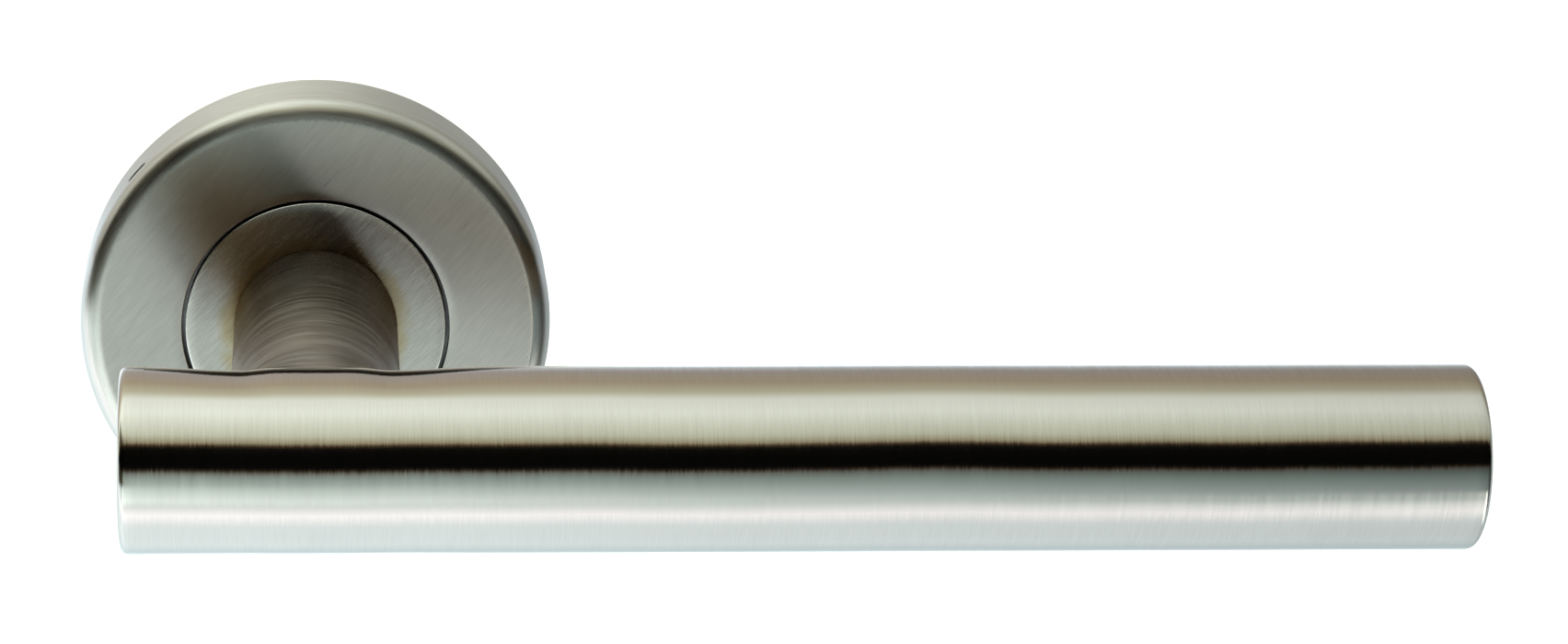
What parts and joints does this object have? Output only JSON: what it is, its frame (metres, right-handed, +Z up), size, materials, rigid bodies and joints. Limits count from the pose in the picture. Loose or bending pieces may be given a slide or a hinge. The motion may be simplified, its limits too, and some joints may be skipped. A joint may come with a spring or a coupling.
{
  "type": "door lever handle",
  "caption": "Straight round-bar lever on a sprung round rose, with spindle and bolt-through fixings, for one side of a door.",
  "frame": {"origin": "centre of the rose on the door's face, on the spindle's axis", "axes": "+X along the grip from the rose to its free end, +Y into the door along the spindle, +Z up"},
  "size_m": [0.1443, 0.123, 0.052],
  "materials": {
    "satin_steel": "satin brushed stainless steel",
    "turned_steel": "turned",
    "plated_steel": "bright zinc plated",
    "spring_steel": "oiled spring temper",
    "black_steel": "blackened",
    "zinc_casting": "as cast",
    "acetal": "moulded"
  },
  "bodies": {
    "rose": {"rose_cover": "satin_steel", "mounting_base": "zinc_casting", "support_lugs": "turned_steel", "backing_plate": "plated_steel", "backing_screws": "plated_steel", "cover_clips": "spring_steel", "neck_bush": "acetal", "return_spring": "spring_steel", "stop_pins": "turned_steel", "through_bolts": "plated_steel", "wood_screws": "plated_steel"},
    "lever": {"grip_tube": "satin_steel", "end_cap_near": "satin_steel", "end_cap_far": "satin_steel", "neck": "satin_steel", "collar_disc": "satin_steel", "spindle_socket": "turned_steel", "spring_driver": "plated_steel", "spring_washer": "spring_steel", "circlip": "spring_steel", "grub_screw": "black_steel", "spindle": "plated_steel"}
  },
  "joints": [
    {"name": "lever_turn", "type": "hinge", "parent": "rose", "child": "lever", "pos_m": [0, 0, 0], "axis": [0, 1, 0], "range_deg": [0, 45], "stiffness_Nm_per_rad": 0.285, "springref_deg": -51.57, "deforming": ["return_spring"]}
  ]
}
